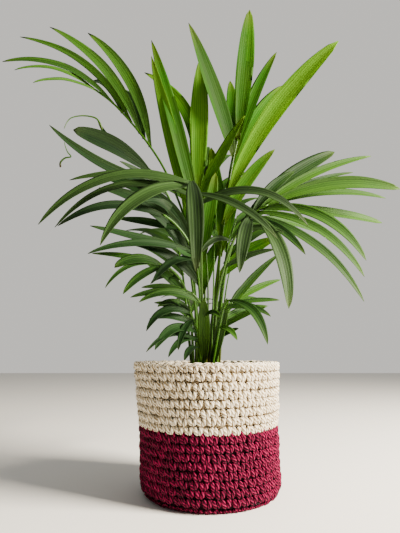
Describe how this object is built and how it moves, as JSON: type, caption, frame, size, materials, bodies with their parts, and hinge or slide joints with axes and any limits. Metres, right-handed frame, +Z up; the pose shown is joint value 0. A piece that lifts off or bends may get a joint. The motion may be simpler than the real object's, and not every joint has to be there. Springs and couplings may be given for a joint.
{
  "type": "potted areca palm",
  "caption": "Young palm with arching feathered fronds, in a nursery pot of soil inside a round two-colour crocheted basket that stands on its flat base.",
  "frame": {"origin": "on the flat base of the basket, under the middle of its rim; the base sits 5 mm to +X of it, because the soft basket slouches", "axes": "+Z up along the basket's axis, -Y towards the front as pictured, +X to the right of that view"},
  "size_m": [0.4243, 0.3484, 0.5471],
  "materials": {
    "cream_yarn": "thick matte cotton yarn, cream",
    "burgundy_yarn": "thick matte cotton yarn, burgundy",
    "pot_plastic": "thin moulded plastic, black, satin",
    "potting_soil": "dark, damp, crumbly",
    "leaf_bright": "smooth waxy leaf, fresh yellow-green",
    "leaf_mid": "smooth waxy leaf, mid green",
    "leaf_dark": "smooth waxy leaf, dark green",
    "leaf_grey_green": "smooth waxy leaf, grey-green bloom"
  },
  "bodies": {
    "root": {"basket_lower_burgundy": "burgundy_yarn", "basket_upper_cream": "cream_yarn", "nursery_pot": "pot_plastic", "potting_soil": "potting_soil", "frond_upright_middle": "leaf_bright", "frond_upright_right": "leaf_bright", "frond_high_left": "leaf_mid", "frond_shaded_left": "leaf_dark", "frond_front_arching": "leaf_grey_green", "frond_mid_left": "leaf_dark", "frond_low_left": "leaf_mid", "frond_lower_left": "leaf_mid", "frond_rim_left": "leaf_dark", "frond_spreading_right": "leaf_mid", "frond_front_right": "leaf_grey_green", "frond_low_right": "leaf_mid", "frond_rim_right": "leaf_mid", "frond_back_upright": "leaf_mid", "frond_back_left": "leaf_mid", "frond_back_right": "leaf_mid", "frond_back_low_left": "leaf_mid", "frond_back_low_right": "leaf_mid"}
  },
  "joints": []
}
